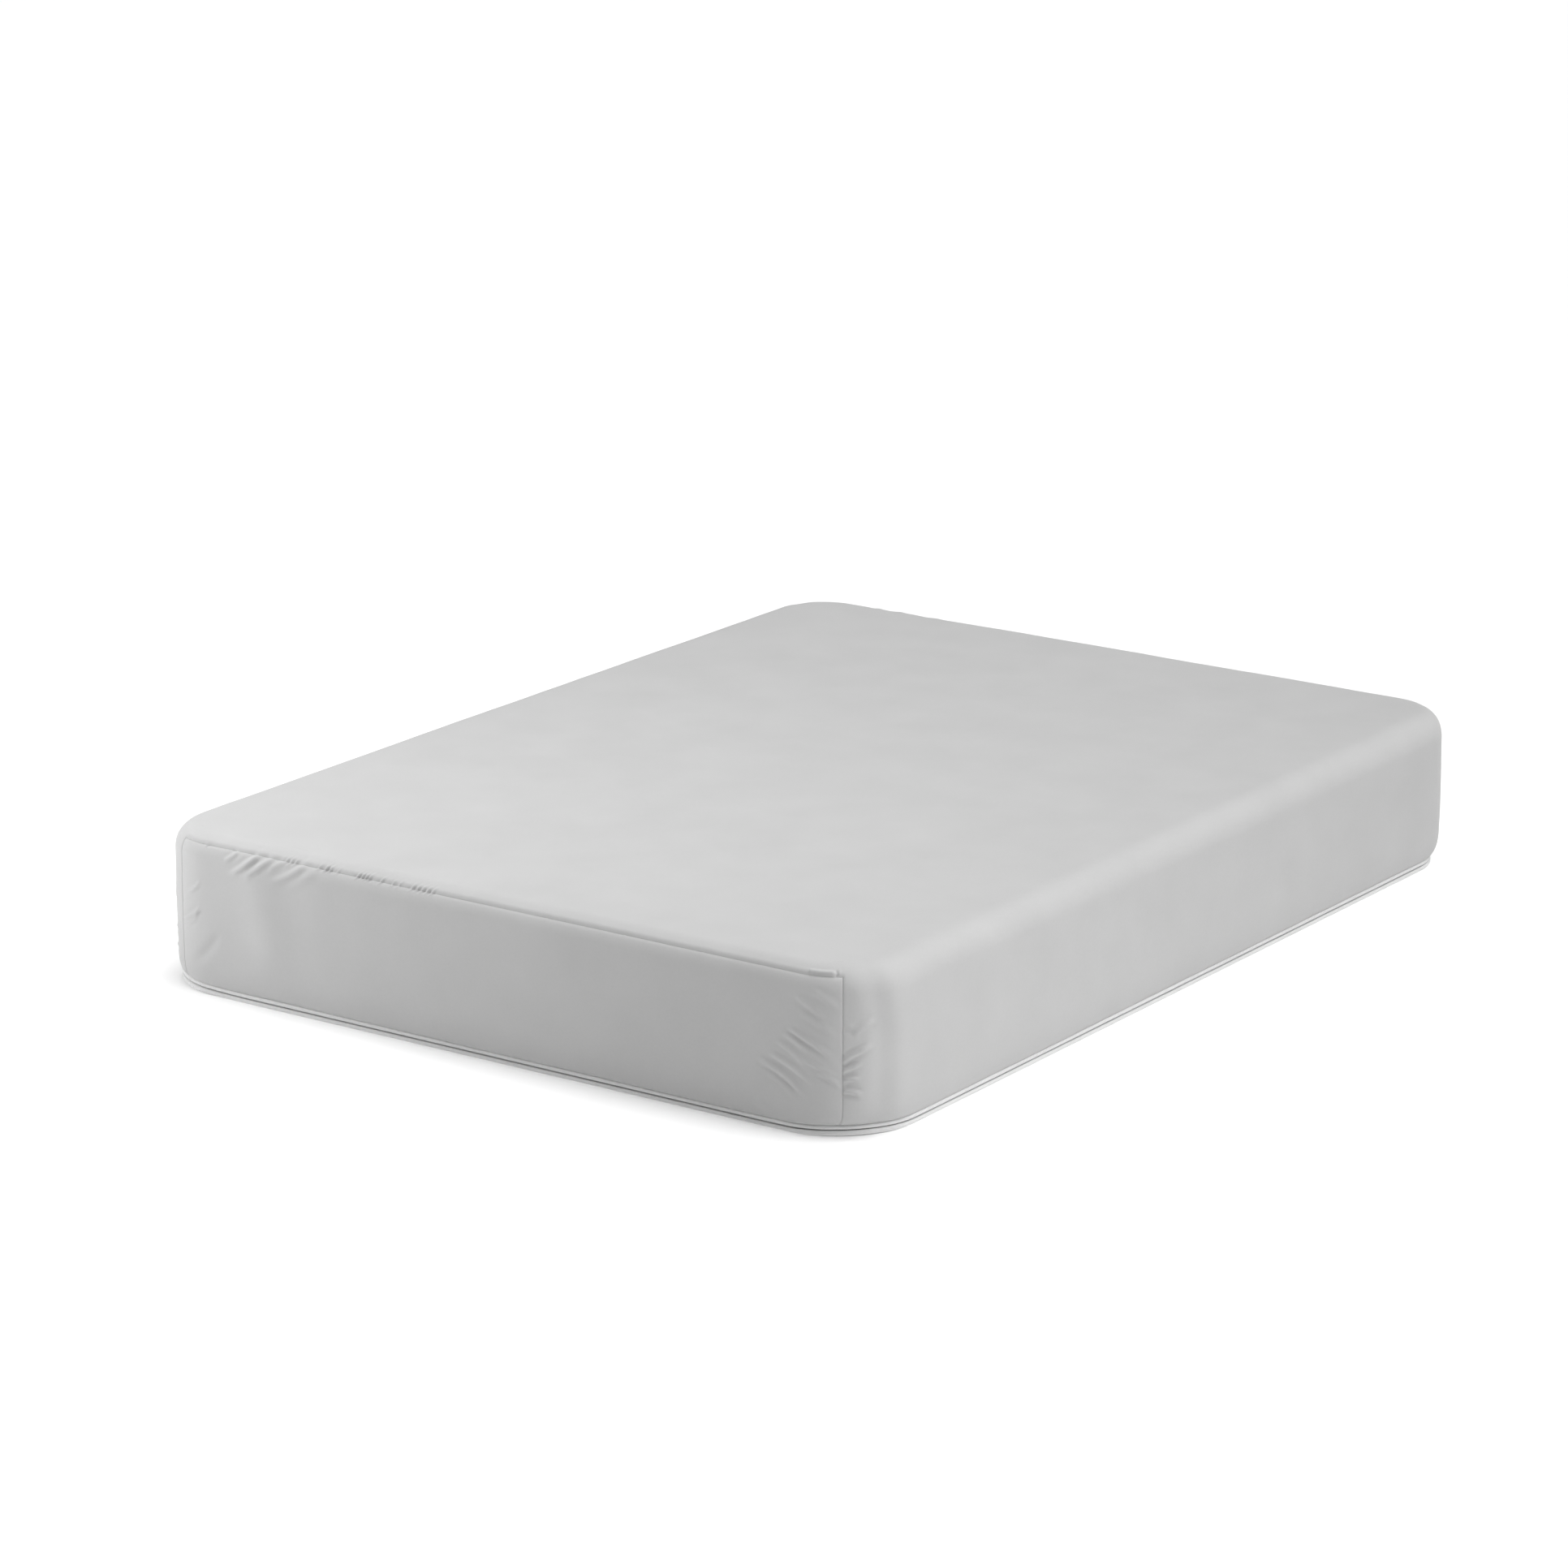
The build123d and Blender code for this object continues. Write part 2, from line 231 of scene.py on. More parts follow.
def fold_relief(s, z, folds):
    """Height of a list of folds over the wall: a ridge, with a shallow trough along each flank."""
    total = np.zeros(np.broadcast(s, z).shape)
    for (s0, z0), (s1, z1), width, height in folds:
        length = math.hypot(s1 - s0, z1 - z0)
        dir_s, dir_z = (s1 - s0) / length, (z1 - z0) / length
        along = ((s - s0) * dir_s + (z - z0) * dir_z) / length
        bend = 0.05 * length * np.sin(np.pi * along)
        off = (s - s0) * dir_z - (z - z0) * dir_s + bend
        ends = smooth(along / 0.25 + 0.5) * smooth((1 - along) / 0.4)
        near = np.exp(-((off / width) ** 2))
        flanks = np.exp(-((off / width - 1.7) ** 2)) + np.exp(-((off / width + 1.7) ** 2))
        total += height * ends * (near - 0.45 * flanks)
    return total


def pucker_relief(s, above, marks, slant, reach):
    """Small gathers that bridge a seam. above is the distance over the seam."""
    total = np.zeros(np.broadcast(s, above).shape)
    fade = np.exp(-((above / np.where(above > 0, reach, 0.45 * reach)) ** 2))
    for place, width, height in marks:
        off = ((s - place + slant * above) / width) ** 2
        total += height * fade * (np.exp(-off) - 0.45 * np.exp(-off / 5))
    return total


def foot_pucker_marks():
    """Place, half width and height of each pucker on the foot's seam."""
    marks = []
    for start, count, pitch, height in FOOT_PUCKERS:
        for k in range(count):
            marks.append((start + k * pitch, 2.8 * MM, height))
    return marks


def head_pucker_marks():
    """Wider, softer puckers, unevenly spaced."""
    rng = np.random.default_rng(41)
    marks, place = [], -SEAM_S + 0.03
    while place < SEAM_S:
        marks.append((place, rng.uniform(7, 13) * MM, rng.uniform(0.5, 1.2) * MM))
        place += rng.uniform(0.045, 0.105)
    return marks


def jittered(folds, seed, flip=1, calm=1.0):
    """The same kind of folds as `folds`, moved and resized a little, for another corner."""
    rng = np.random.default_rng(seed)
    made = []
    for (s0, z0), (s1, z1), width, height in folds:
        move_s, move_z = rng.uniform(-0.012, 0.012), rng.uniform(-0.02, 0.02)
        grow = rng.uniform(0.6, 1.05)
        ends = ((flip * s0 + move_s, z0 + move_z), (flip * s1 + move_s, z1 + move_z))
        made.append((*ends, width * rng.uniform(0.9, 1.3), height * grow * calm))
    return made


FOOT_MARKS = foot_pucker_marks()
HEAD_MARKS = head_pucker_marks()
HEAD_FOLDS = jittered(PANEL_FOLDS, 7, -1, 0.5)
FOOT_LEFT_WRAP = jittered(WRAP_FOLDS, 8, -1, 0.3)
HEAD_WRAPS = jittered(WRAP_FOLDS, 9, 1, 0.6) + jittered(WRAP_FOLDS, 10, -1, 0.6)


# ---- The cover's surface -------------------------------------------------------------------
def roll_radius(turn):
    """Round of the upper edge: softer along the sides than along the ends."""
    return SIDE_ROLL + (END_ROLL - SIDE_ROLL) * np.sin(turn) ** 2


def cloth_height(s, z):
    """Length up the wall and over the roll to each point."""
    radius = roll_radius(stations(s)[2])
    rise = np.clip(z - (TOP - radius), 0, radius)
    return np.minimum(z, TOP - radius) + radius * np.arcsin(rise / radius)


def seam_relief(s_end, reach_s, z, length, seam_length, marks, slant, reach):
    """Seam valleys and puckers of one end. s_end is 0 in its middle, reach_s the way past its side seams."""
    above = length - seam_length
    top_part = smooth(0.5 - reach_s / (8 * MM))
    side_part = smooth((SEAM_Z + 6 * MM - z) / (8 * MM))
    # the top seam: a stitched line, the valley it draws in, and the lip of cloth over it
    dist = np.abs(above)
    stitches = 0.4 * MM * np.exp(-dist / (1.2 * MM))
    valley = 1.0 * MM * np.exp(-((dist / (3.2 * MM)) ** 2)) + 0.8 * MM * np.exp(-((dist / (16 * MM)) ** 2))
    lip = 1.1 * MM * np.exp(-(((above - 7.5 * MM) / (4.5 * MM)) ** 2))
    d = top_part * (lip - valley - stitches)
    # the side seams are flatter
    dist = np.abs(reach_s)
    stitches = 0.6 * MM * np.exp(-dist / (1.8 * MM))
    valley = 0.3 * MM * np.exp(-((dist / (12 * MM)) ** 2))
    d = d - side_part * (valley + stitches)
    return d + top_part * pucker_relief(s_end, above, marks, slant, reach)


def tuck_relief(s_end, above):
    """Flat doubled tuck of cloth over the seam at the near corner, with a notch at its end."""
    start, end, notch_place = 0.647, 0.697, 0.700
    flat = smooth((s_end - start) / (2.5 * MM)) * smooth((end - s_end) / (2.5 * MM))
    flat = flat * smooth((above - 2.5 * MM) / (2 * MM)) * smooth((11 * MM - above) / (2 * MM))
    notch = np.exp(-(((s_end - notch_place) / (2 * MM)) ** 2))
    notch = notch * smooth(above / (2 * MM)) * smooth((13 * MM - above) / (4 * MM))
    return 2.6 * MM * flat - 3.0 * MM * notch


def relief(s, z, points):
    """Outward displacement of the cover's cloth at each point of the walls and the roll."""
    foot_s = np.mod(s + PERIMETER / 2, PERIMETER) - PERIMETER / 2
    head_s = np.mod(s, PERIMETER) - PERIMETER / 2
    length = cloth_height(s, z)
    seam_length = cloth_height(s, np.full_like(np.asarray(s, float), SEAM_Z))
    d = 0.9 * MM * noise3(points, 0.21, 11) + 0.35 * MM * noise3(points, 0.055, 12)
    past_foot = past_seam(foot_s, 1)
    past_head = past_seam(head_s, -1)
    d = d + seam_relief(foot_s, past_foot, z, length, seam_length, FOOT_MARKS, -0.6, 9 * MM)
    d = d + seam_relief(head_s, past_head, z, length, seam_length, HEAD_MARKS, -0.35, 18 * MM)
    d = d + tuck_relief(foot_s, length - seam_length)
    d = d + smooth(-past_foot / (4 * MM)) * fold_relief(foot_s, z, PANEL_FOLDS)
    d = d + smooth(-past_head / (4 * MM)) * fold_relief(head_s, z, HEAD_FOLDS)
    d = d + smooth(past_foot / (3 * MM)) * fold_relief(foot_s, z, WRAP_FOLDS + FOOT_LEFT_WRAP)
    d = d + smooth(past_head / (3 * MM)) * fold_relief(head_s, z, HEAD_WRAPS)
    return np.maximum(d, -DEEPEST)


def wall(s, z, depth=0.0, detail=True):
    """Points of the cover's wall and roll at lengths s and levels z, `depth` behind the skin."""
    where = stations(s)
    along_x, along_y, turn = where
    radius = roll_radius(turn)
    rise = np.clip(z - (TOP - radius), 0, radius)
    inset = radius - np.sqrt(radius**2 - rise**2)
    tilt = np.arcsin(rise / radius)
    q = np.clip((EASE_TOP - z) / (EASE_TOP - HEM_TOP), 0, 1)
    drawn = (0.3 * q * q + 0.7 * (1 - np.sqrt(1 - q**3)))[..., None]
    full = ring(where, inset, CORNER_R - inset, z)
    hem = ring(where, HEM_INSET, hem_radius(s), z)
    points = full * (1 - drawn) + hem * drawn
    tilt = np.broadcast_to(tilt, points.shape[:-1])
    out = np.stack([np.cos(turn) * np.cos(tilt), np.sin(turn) * np.cos(tilt), np.sin(tilt)], -1)
    flat = (1 - along_x**2) * np.sin(turn) ** 2 + (1 - along_y**2) * np.cos(turn) ** 2
    swell = BOW * flat * (1 - q) + BULGE * np.sin(np.pi * np.clip(z / TOP, 0, 1))
    d = swell * np.cos(tilt) - depth
    if detail:
        d = d + relief(s, z, points)
    return points + out * d[..., None]


# ---- Meshes --------------------------------------------------------------------------------
class Patchwork:
    """Collects the points and faces of one mesh, with cloth coordinates in metres on each face."""

    def __init__(self):
        self.points = []
        self.faces = []
        self.cloth = []
        self.count = 0

    def add(self, points):
        points = np.asarray(points, float)
        index = np.arange(self.count, self.count + points[..., 0].size).reshape(points.shape[:-1])
        self.points.append(points.reshape(-1, 3))
        self.count = index.max() + 1
        return index

    def face(self, corners, cloth):
        self.faces.append(corners)
        self.cloth.append(cloth)

    def quads(self, index, u, v, flip=False):
        """Faces over a grid of indices, whose cloth coordinates are u and v."""
        u, v = np.broadcast_arrays(u, v)
        order = [(0, 0), (0, 1), (1, 1), (1, 0)]
        if flip:
            order.reverse()
        rows, columns = index.shape
        parts = [index[a : rows - 1 + a, b : columns - 1 + b].ravel() for a, b in order]
        cloth = [
            np.stack([g[a : rows - 1 + a, b : columns - 1 + b].ravel() for g in (u, v)], -1) for a, b in order
        ]
        self.faces.extend(np.stack(parts, -1).tolist())
        self.cloth.extend(np.stack(cloth, 1).tolist())

    def build(self, name):
        mesh = bpy.data.meshes.new(name)
        mesh.from_pydata(np.concatenate(self.points).tolist(), [], self.faces)
        layer = mesh.uv_layers.new(name="cloth")
        flat = np.concatenate([np.asarray(c, float) for c in self.cloth])
        layer.data.foreach_set("uv", flat.astype(np.float32).ravel())
        mesh.polygons.foreach_set("use_smooth", np.ones(len(mesh.polygons), bool))
        mesh.update()
        piece = bpy.data.objects.new(name, mesh)
        bpy.context.scene.collection.objects.link(piece)
        return piece


def spaced(marks):
    """Values from the first mark to the last: marks is (start, step), ..., (end, None)."""
    values = []
    for (start, step), (end, _) in zip(marks, marks[1:]):
        count = max(1, round((end - start) / step))
        values.extend(np.linspace(start, end, count + 1)[:-1])
    values.append(marks[-1][0])
    return np.array(values)


def side_lengths(step_corner, step_side):
    """Lengths round the outline from the foot's right seam to the head's, over the right side."""
    turn_end = STRAIGHT_X + ARC
    far = PERIMETER / 2
    return spaced(
        [
            (SEAM_S, step_corner),
            (turn_end + 0.02, step_side),
            (far - turn_end - 0.02, step_corner),
            (far - SEAM_S, None),
        ]
    )


def top_points(x, y, z):
    """Puts points at plan places x, y on the mattress's top, with its crown and faint unevenness."""
    share_x = np.clip(1 - (x / (HALF_W - SIDE_ROLL)) ** 2, 0, 1)
    share_y = np.clip(1 - (y / (HALF_L - END_ROLL)) ** 2, 0, 1)
    points = np.stack([x, y, z], -1)
    lift = CROWN * np.sqrt(share_x * share_y)
    lift += 0.9 * MM * noise3(points, 0.21, 11) + 0.35 * MM * noise3(points, 0.055, 12)
    # faint hollows and swells, longer across the mattress than along it
    stretched = points * np.array([0.6, 1.0, 1.0])
    lift += 0.8 * MM * noise3(stretched, 0.10, 13) * smooth(share_x * 4) * smooth(share_y * 4)
    points[..., 2] += lift
    return points


def spread(foot, head, left, right):
    """Plan places inside four border curves. foot and head run left to right, the others front to back."""
    u = (foot[:, 0] - foot[0, 0]) / (foot[-1, 0] - foot[0, 0])
    v = (right[:, 1] - right[0, 1]) / (right[-1, 1] - right[0, 1])
    u, v = u[None, :, None], v[:, None, None]
    across = (1 - v) * foot[None] + v * head[None]
    along = (1 - u) * left[:, None] + u * right[:, None]
    corners = (1 - u) * (1 - v) * foot[0] + u * (1 - v) * foot[-1] + (1 - u) * v * head[0] + u * v * head[-1]
    return across + along - corners


def ring_columns(foot_s, side_s):
    """Lengths of all columns round the outline, from the foot's left seam, and the four borders."""
    nx, ny = len(foot_s) - 1, len(side_s) - 1
    half = PERIMETER / 2
    left_s = half / 2 + (side_s - half / 2) * (half + 2 * foot_s[0]) / (half - 2 * side_s[0])
    s = np.concatenate([foot_s[:-1], side_s[:-1], half - foot_s[:0:-1], PERIMETER - left_s[:0:-1]])
    count = len(s)
    foot = np.arange(nx + 1)
    right = np.arange(nx, nx + ny + 1)
    head = np.arange(nx + ny, 2 * nx + ny + 1)[::-1]
    left = np.arange(2 * nx + ny, count + 1)[::-1] % count
    return s, foot, right, head, left


def closed(grid):
    """The grid with its first column again after its last."""
    return np.concatenate([grid, grid[..., :1]], -1)


def make_top_cover():
    """Top, long sides and corner wraps in one piece of cloth, open where the end panels go."""
    foot_s = spaced(
        [(-LEFT_SEAM_S, 5 * MM), (-0.46, 1.9 * MM), (-0.11, 9 * MM), (0.60, 2.5 * MM), (SEAM_S, None)]
    )
    if len(foot_s) % 2 == 0:
        foot_s = np.insert(foot_s, 1, (foot_s[0] + foot_s[1]) / 2)
    side_s = side_lengths(3.2 * MM, 17 * MM)
    s, foot, right, head, left = ring_columns(foot_s, side_s)
    loop_s = np.append(s, s[0] + PERIMETER)
    levels = spaced([(HEM_TOP, 2.5 * MM), (0.03, 3.4 * MM), (0.262, 2 * MM), (SEAM_Z, None)])
    radius = roll_radius(stations(s)[2])
    start = np.arcsin((SEAM_Z - (TOP - radius)) / radius)
    steps = np.linspace(0, 1, 16)[:, None] ** 1.5
    tilt = start + (np.pi / 2 - start) * steps
    roll_z = TOP - radius + radius * np.sin(tilt)

    work = Patchwork()
    roll = work.add(wall(s[None], roll_z))
    length = cloth_height(s[None], roll_z)
    work.quads(closed(roll), loop_s[None], closed(length))
    for border in (right, left[::-1]):
        side = s[border]
        if border[-1] == 0:
            side = np.append(side[:-1], side[-1] + PERIMETER)
        lower = work.add(wall(side[None], levels[:-1, None]))
        grid = np.vstack([lower, roll[0, border]])
        work.quads(grid, side[None], cloth_height(side[None], levels[:, None]))

    edge = wall(s, roll_z[-1])
    plan = spread(edge[foot], edge[head], edge[left], edge[right])
    inner = top_points(plan[..., 0], plan[..., 1], np.full(plan.shape[:-1], TOP))
    fill_top(work, roll[-1], (foot, right, head, left), inner)
    return work.build("top_cover_cloth")


def fill_top(work, edge, borders, inner):
    """Fills the top between its border columns: close columns near the ends, every second one between."""
    foot, right, head, left = borders
    rows, columns = inner.shape[:2]
    fine_rows = 12
    index = np.full((rows, columns), -1)
    index[0], index[-1] = edge[foot], edge[head]
    index[:, 0], index[:, -1] = edge[left], edge[right]
    fine = np.zeros(rows, bool)
    fine[:fine_rows] = fine[-fine_rows:] = True
    for j in range(1, rows - 1):
        pick = np.arange(1, columns - 1) if fine[j] else np.arange(2, columns - 1, 2)
        index[j, pick] = work.add(inner[j, pick])
    x, y = inner[..., 0], inner[..., 1]
    work.quads(index[:fine_rows], x[:fine_rows], y[:fine_rows])
    work.quads(index[-fine_rows:], x[-fine_rows:], y[-fine_rows:])
    middle = slice(fine_rows, rows - fine_rows)
    work.quads(index[middle, ::2], x[middle, ::2], y[middle, ::2])
    for close, far in ((fine_rows - 1, fine_rows), (rows - fine_rows, rows - fine_rows - 1)):
        for i in range(0, columns - 1, 2):
            corners = [(close, i), (close, i + 1), (close, i + 2), (far, i + 2), (far, i)]
            if close > far:
                corners.reverse()
            work.face([int(index[c]) for c in corners], [(x[c], y[c]) for c in corners])


def make_end_panel(name, middle):
    """One sewn-in end panel. middle is the length round the outline to its middle."""
    first, last = seam_span(middle)
    s = spaced([(first, 2.2 * MM), (last, None)])
    levels = spaced([(HEM_TOP, 2.0 * MM), (0.03, 2.7 * MM), (0.24, 1.6 * MM), (SEAM_Z, None)])
    work = Patchwork()
    index = work.add(wall(s[None], levels[:, None]))
    work.quads(index, s[None], cloth_height(s[None], levels[:, None]))
    return work.build(name)


def inward(point):
    """Level direction from a point of the wall into the mattress."""
    core = Vector(
        (
            max(-STRAIGHT_X, min(STRAIGHT_X, point.x)),
            max(-STRAIGHT_Y, min(STRAIGHT_Y, point.y)),
            point.z,
        )
    )
    return (core - point).normalized()


def turn_in(piece, depth):
    """Turns every cut edge of a cover piece inward, as the seam allowance does."""
    mesh = bmesh.new()
    mesh.from_mesh(piece.data)
    edges = [e for e in mesh.edges if e.is_boundary]
    made = bmesh.ops.extrude_edge_only(mesh, edges=edges)
    for v in made["geom"]:
        if isinstance(v, bmesh.types.BMVert):
            v.co += inward(v.co) * depth
    for f in mesh.faces:
        f.smooth = True
    mesh.to_mesh(piece.data)
    mesh.free()


def make_lining():
    """Inner face of the cover: the bonded wadding, seen when the cover is lifted off."""
    s, *borders = block_columns(24 * MM)
    radius = roll_radius(stations(s)[2])
    levels = np.linspace(HEM_TOP, TOP - SIDE_ROLL, 14)[:, None] * np.ones(len(s))
    tilt = np.linspace(0, 1, 9)[1:, None] * (np.pi / 2)
    z = np.vstack([levels, TOP - radius + radius * np.sin(tilt)])
    work = Patchwork()
    points = wall(s[None], z, LINING_DEPTH, detail=False)
    index = work.add(points)
    work.quads(closed(index), loop(s)[None], closed(cloth_height(s[None], z)), flip=True)
    cap(work, index[-1], points[-1], borders, flip=True)
    return work.build("cover_lining")


def make_binding(name, middle):
    """Binding strip inside the cover, over the three seams of one end panel."""
    work = Patchwork()
    across = np.linspace(-1, 1, 7)
    depth = LINING_DEPTH + 0.4 * MM + 0.9 * MM * (1 - across**2)
    first, last = seam_span(middle)
    s = spaced([(first - BINDING_HALF, 6 * MM), (last + BINDING_HALF, None)])
    radius = roll_radius(stations(s)[2])
    tilt = np.arcsin((SEAM_Z - (TOP - radius)) / radius) + BINDING_HALF * across[:, None] / radius
    strip = wall(s[None], TOP - radius + radius * np.sin(tilt), depth[:, None], detail=False)
    work.quads(work.add(strip), s[None], BINDING_HALF * across[:, None], flip=True)
    levels = spaced([(HEM_TOP + MM, 6 * MM), (SEAM_Z, None)])
    for side in (first, last):
        s = side + BINDING_HALF * across
        strip = wall(s[None], levels[:, None], depth[None], detail=False)
        work.quads(work.add(strip), levels[:, None], BINDING_HALF * across[None], flip=True)
    return work.build(name)


# ---- Hem band and zip ----------------------------------------------------------------------
def hem_ring(s, inset, z):
    """Points that follow the hem's outline, `inset` behind the wall face."""
    return ring(stations(s), inset, hem_radius(s) - (inset - FLAP_INSET), z)


def make_hem_roll(name, node, seed):
    """One rolled half of the hem band: a strip of knit folded over the zip tape, open at the back."""
    low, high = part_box(node)
    s = np.linspace(0, PERIMETER, HEM_COLUMNS, endpoint=False)
    turn = np.linspace(-1, 1, 11)[:, None] * (np.pi / 2)
    front = np.cos(turn) ** 0.7
    middle, half = (low.z + high.z) / 2, (high.z - low.z) / 2
    # flatter along the head, where the slider's front plate runs over it
    head = smooth((STRAIGHT_X + 0.04 - np.abs(s - PERIMETER / 2)) / 0.04)[None]
    inset = TAPE_INSET - (ROLL_OUT - ROLL_EASE * head) * front
    z = middle + half * np.sin(turn) * (0.82 + 0.18 * np.abs(np.sin(turn)))
    points = hem_ring(s[None], inset, z + 0 * s[None])
    sway = 0.5 * MM * noise3(points, 0.030, seed) + 0.25 * MM * noise3(points, 0.011, seed + 1)
    sway = sway * (1 - 0.5 * head)
    points = hem_ring(s[None], inset - sway * front, z + 0.3 * sway)
    work = Patchwork()
    work.quads(closed(work.add(points)), loop(s)[None], HEM_STRIP * (turn / np.pi))
    return work.build(name)


def make_tape(name, node):
    """Woven tape of the zip, a thin closed band."""
    low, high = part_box(node)
    s = np.linspace(0, PERIMETER, TAPE_COLUMNS, endpoint=False)
    profile = [(0, 0.04), (0, 0.5), (0, 0.96), (0.5, 1), (1, 0.96), (1, 0.5), (1, 0.04), (0.5, 0)]
    inset, level = np.array(profile).T[..., None]
    z = low.z + (high.z - low.z) * level + 0 * s[None]
    work = Patchwork()
    index = work.add(hem_ring(s[None], TAPE_INSET + 2 * TAPE_HALF_T * inset, z))
    index = closed(np.vstack([index, index[:1]]))
    rows, columns = index.shape
    along = np.linspace(0, PERIMETER, columns)[None]
    work.quads(index, along, np.linspace(0, 14 * MM, rows)[:, None], flip=True)
    return work.build(name)


def head_station(x, inset):
    """Length round the outline to a place x on the head side's hem."""
    reach = HALF_W - inset - (HEM_CORNER_R - (inset - FLAP_INSET))
    return PERIMETER / 2 - x * STRAIGHT_X / reach


def make_coil(name, node, start_x, end_x):
    """Zip coil: one continuous helix of monofilament, from its start on the head side round to its end."""
    low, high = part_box(node)
    middle_z = (low.z + high.z) / 2
    wire = 0.36 * MM
    middle_inset = COIL_INSET + COIL_DEPTH / 2
    start = head_station(start_x, middle_inset)
    end = head_station(end_x, middle_inset) + PERIMETER
    turns = round((end - start) / COIL_PITCH)
    t = np.linspace(0, turns, turns * 6 + 1)
    s = start + (end - start) * t / turns
    swing = 2 * np.pi * t
    section = np.radians([45, 135, 225, 315])[:, None]
    across = COIL_DEPTH / 2 - wire + wire * np.cos(section)
    rise = (high.z - low.z) / 2 - wire + wire * np.cos(section)
    along = wire * np.sin(section) * 1.3
    points = hem_ring(s[None] + along, middle_inset + across * np.cos(swing), middle_z + rise * np.sin(swing))
    work = Patchwork()
    index = work.add(points)
    index = np.vstack([index, index[:1]])
    work.quads(index, s[None], np.linspace(0, 2 * MM, 5)[:, None])
    return work.build(name)


# ---- Core ----------------------------------------------------------------------------------
def block_columns(step):
    """Lengths and borders for the simpler blocks, which need no close columns."""
    foot_s = spaced([(-SEAM_S, step), (SEAM_S, None)])
    return ring_columns(foot_s, side_lengths(12 * MM, 1.6 * step))


def loop(s):
    """The lengths s with the first one again after a full turn."""
    return np.append(s, s[0] + PERIMETER)


def cap(work, index, points, borders, flip=False):
    """Closes the last ring of a block with a face whose lines run from border to border."""
    foot, right, head, left = borders
    plan = spread(points[foot], points[head], points[left], points[right])
    sign = -1 if flip else 1
    plan[..., 2] += sign * 0.5 * MM * (noise3(plan, 0.12, 21) + 0.4 * noise3(plan, 0.05, 22)) * away(plan)
    grid = np.full(plan.shape[:-1], -1)
    grid[0], grid[-1] = index[foot], index[head]
    grid[:, 0], grid[:, -1] = index[left], index[right]
    grid[1:-1, 1:-1] = work.add(plan[1:-1, 1:-1])
    work.quads(grid, plan[..., 0], plan[..., 1], flip)


def away(points):
    """0 at the walls, 1 well inside the plan."""
    return smooth((HALF_W - np.abs(points[..., 0])) / 0.2) * smooth((HALF_L - np.abs(points[..., 1])) / 0.2)


def make_block(name, profile, step, faces, ripple=0.0):
    """Soft block or sleeve. profile holds (inset, level) from low to high; faces names the closed faces."""
    s, *borders = block_columns(step)
    inset, z = np.array(profile).T[..., None]
    inset = inset + ripple * noise3(ring(stations(s[None]), inset, CORE_CORNER_R - inset, z), 0.09, 23)
    points = ring(stations(s[None]), inset, CORE_CORNER_R - (inset - CORE_INSET), z)
    run = np.concatenate([[0], np.cumsum(np.hypot(*np.diff(np.array(profile), axis=0).T))])
    work = Patchwork()
    index = work.add(points)
    work.quads(closed(index), loop(s)[None], run[:, None])
    if "top" in faces:
        cap(work, index[-1], points[-1], borders)
    if "base" in faces:
        cap(work, index[0], points[0], borders, flip=True)
    return work.build(name)


def rounded_edge(inset, z, radius, upper, count=6):
    """Profile points round one edge of a block, from low to high."""
    turn = np.linspace(0, np.pi / 2, count)
    if upper:
        return [(inset + radius * (1 - math.cos(a)), z - radius + radius * math.sin(a)) for a in turn]
    return [(inset + radius * (1 - math.cos(a)), z + radius - radius * math.sin(a)) for a in turn[::-1]]


def make_foam(name, upper_round):
    """One foam layer, with its cut edges a little softened."""
    low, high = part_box(name)
    edge = 2 * MM
    profile = rounded_edge(FOAM_INSET, low.z, edge, upper=False)
    profile += [(FOAM_INSET, z) for z in np.linspace(low.z + edge, high.z - upper_round, 5)[1:-1]]
    profile += rounded_edge(FOAM_INSET, high.z, upper_round, upper=True, count=10)
    return make_block(name + "_layer", profile, 30 * MM, ("base", "top"), ripple=0.3 * MM)


def make_sock():
    """Knitted sleeve round the foam, turned under at the bottom."""
    low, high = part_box("fire_sock")
    profile = [(inset, low.z + 0.4 * MM) for inset in np.linspace(SOCK_UNDER, CORE_INSET + 8 * MM, 4)]
    profile += rounded_edge(CORE_INSET, low.z + 0.4 * MM, 6 * MM, upper=False)
    profile += [(CORE_INSET, z) for z in np.linspace(low.z + 8 * MM, high.z - CORE_ROLL, 22)[:-1]]
    profile += rounded_edge(CORE_INSET, high.z, CORE_ROLL, upper=True, count=12)
    return make_block("fire_sock_sleeve", profile, 10 * MM, ("top",), ripple=1.0 * MM)


def make_bottom_panel():
    """Underside cloth, held by its edge at the lower zip tape."""
    edge = 0.5 * MM
    profile = [(TAPE_INSET + edge, 0.9 * MM), (TAPE_INSET, 1.2 * MM), (TAPE_INSET, BOTTOM_T - 0.3 * MM)]
    profile += [(TAPE_INSET + edge, BOTTOM_T)]
    s, *borders = block_columns(16 * MM)
    inset, z = np.array(profile).T[..., None]
    points = hem_ring(s[None], inset, z + 0 * s[None])
    work = Patchwork()
    index = work.add(points)
    work.quads(closed(index), loop(s)[None], z)
    cap(work, index[-1], points[-1], borders)
    cap(work, index[0], points[0], borders, flip=True)
    return work.build("bottom_panel_cloth")


